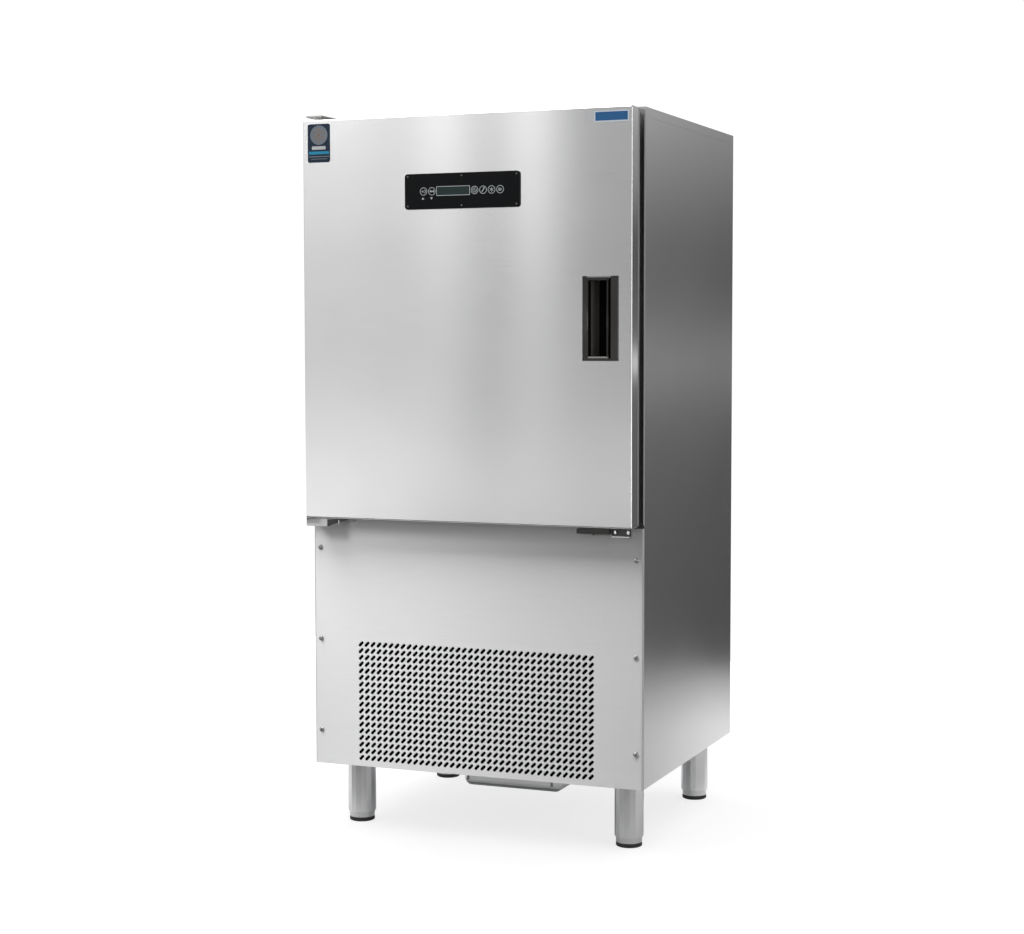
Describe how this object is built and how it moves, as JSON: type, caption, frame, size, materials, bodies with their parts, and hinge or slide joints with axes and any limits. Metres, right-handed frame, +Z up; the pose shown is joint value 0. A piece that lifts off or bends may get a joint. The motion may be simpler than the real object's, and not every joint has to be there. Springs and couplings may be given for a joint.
{
  "type": "blast chiller",
  "caption": "Upright stainless blast chiller on adjustable legs, with an insulated tray chamber behind a hinged door, a slotted machine compartment and a slide-out condensate tray.",
  "frame": {"origin": "on the floor under the middle of the whole object's bounding box", "axes": "+Z up, +X to the right as seen by someone facing the door, +Y from the door to the back"},
  "size_m": [0.79, 0.756, 1.6165],
  "materials": {
    "brushed_stainless": "fine brushed stainless steel, grain across",
    "bright_stainless": "smooth bright stainless steel",
    "galvanised_sheet": "galvanised sheet",
    "aluminium_fins": "satin",
    "copper_tube": "drawn copper",
    "foam": "foamed insulation",
    "black_plastic": "moulded satin",
    "gloss_black": "glossy",
    "display": "glossy, dark green",
    "foot_rubber": "matt",
    "gasket": "matt",
    "black_enamel": "semi-gloss",
    "grey_plastic": "satin"
  },
  "bodies": {
    "cabinet": {"base_chassis": "galvanised_sheet", "side_panel_left": "brushed_stainless", "side_panel_right": "brushed_stainless", "back_panel": "brushed_stainless", "top_cover": "brushed_stainless", "cell_floor_sheet": "galvanised_sheet", "chamber_liner": "bright_stainless", "cabinet_insulation": "foam", "front_frame": "brushed_stainless", "lower_front_panel": "brushed_stainless", "leg_sleeve_front_left": "bright_stainless", "leg_sleeve_front_right": "bright_stainless", "leg_sleeve_back_left": "bright_stainless", "leg_sleeve_back_right": "bright_stainless", "condenser_coil": "aluminium_fins", "condenser_shroud": "galvanised_sheet", "condenser_fan_motor": "black_enamel", "compressor": "black_enamel", "suction_line": "copper_tube", "discharge_line": "copper_tube", "liquid_receiver": "black_enamel", "liquid_line_drier": "copper_tube", "electrical_box": "grey_plastic", "evaporator_coil": "aluminium_fins", "evaporator_fan_panel": "bright_stainless", "evaporator_fan_motor_lower": "black_enamel", "evaporator_fan_motor_upper": "black_enamel", "tray_rack_left": "bright_stainless", "tray_rack_right": "bright_stainless", "drain_tube": "bright_stainless", "upper_hinge_bracket": "bright_stainless", "upper_hinge_pin": "bright_stainless", "lower_hinge_bracket": "bright_stainless", "lower_hinge_pin": "bright_stainless", "door_switch": "black_plastic", "door_catch": "bright_stainless", "tray_runner_left": "galvanised_sheet", "tray_runner_right": "galvanised_sheet", "cord_gland": "grey_plastic"},
    "door": {"door_outer_skin": "brushed_stainless", "door_inner_liner": "bright_stainless", "door_insulation": "foam", "door_gasket": "gasket", "door_handle": "black_plastic", "control_bezel": "gloss_black", "display_window": "display"},
    "key_1": {"control_key_1": "gloss_black"},
    "key_2": {"control_key_2": "gloss_black"},
    "key_3": {"control_key_3": "gloss_black"},
    "key_4": {"control_key_4": "gloss_black"},
    "key_5": {"control_key_5": "gloss_black"},
    "key_6": {"control_key_6": "gloss_black"},
    "evaporator_rotor_lower": {"evaporator_fan_lower": "aluminium_fins"},
    "evaporator_rotor_upper": {"evaporator_fan_upper": "aluminium_fins"},
    "condenser_rotor": {"condenser_fan": "aluminium_fins"},
    "drip_tray": {"condensate_tray": "bright_stainless"},
    "foot_front_left": {"leveling_foot_front_left": "foot_rubber"},
    "foot_front_right": {"leveling_foot_front_right": "foot_rubber"},
    "foot_back_left": {"leveling_foot_back_left": "foot_rubber"},
    "foot_back_right": {"leveling_foot_back_right": "foot_rubber"}
  },
  "joints": [
    {"name": "door_hinge", "type": "hinge", "parent": "cabinet", "child": "door", "pos_m": [-0.365, -0.353, 1.164], "axis": [0, 0, -1], "range_deg": [0, 110]},
    {"name": "key_1_press", "type": "slide", "parent": "door", "child": "key_1", "axis": [0, 1, 0], "range_m": [0, 0.0004], "stiffness_N_per_m": 4000},
    {"name": "key_2_press", "type": "slide", "parent": "door", "child": "key_2", "axis": [0, 1, 0], "range_m": [0, 0.0004], "stiffness_N_per_m": 4000},
    {"name": "key_3_press", "type": "slide", "parent": "door", "child": "key_3", "axis": [0, 1, 0], "range_m": [0, 0.0004], "stiffness_N_per_m": 4000},
    {"name": "key_4_press", "type": "slide", "parent": "door", "child": "key_4", "axis": [0, 1, 0], "range_m": [0, 0.0004], "stiffness_N_per_m": 4000},
    {"name": "key_5_press", "type": "slide", "parent": "door", "child": "key_5", "axis": [0, 1, 0], "range_m": [0, 0.0004], "stiffness_N_per_m": 4000},
    {"name": "key_6_press", "type": "slide", "parent": "door", "child": "key_6", "axis": [0, 1, 0], "range_m": [0, 0.0004], "stiffness_N_per_m": 4000},
    {"name": "evaporator_fan_lower_spin", "type": "hinge", "parent": "cabinet", "child": "evaporator_rotor_lower", "pos_m": [0, 0.175, 0.9735], "axis": [0, 1, 0], "continuous": true},
    {"name": "evaporator_fan_upper_spin", "type": "hinge", "parent": "cabinet", "child": "evaporator_rotor_upper", "pos_m": [0, 0.175, 1.3535], "axis": [0, 1, 0], "continuous": true},
    {"name": "condenser_fan_spin", "type": "hinge", "parent": "cabinet", "child": "condenser_rotor", "pos_m": [0, -0.125, 0.312], "axis": [0, 1, 0], "continuous": true},
    {"name": "condensate_tray_slide", "type": "slide", "parent": "cabinet", "child": "drip_tray", "axis": [0, -1, 0], "range_m": [0, 0.25]},
    {"name": "foot_front_left_screw", "type": "slide", "parent": "cabinet", "child": "foot_front_left", "axis": [0, 0, -1], "range_m": [0, 0.03]},
    {"name": "foot_front_right_screw", "type": "slide", "parent": "cabinet", "child": "foot_front_right", "axis": [0, 0, -1], "range_m": [0, 0.03]},
    {"name": "foot_back_left_screw", "type": "slide", "parent": "cabinet", "child": "foot_back_left", "axis": [0, 0, -1], "range_m": [0, 0.03]},
    {"name": "foot_back_right_screw", "type": "slide", "parent": "cabinet", "child": "foot_back_right", "axis": [0, 0, -1], "range_m": [0, 0.03]}
  ]
}
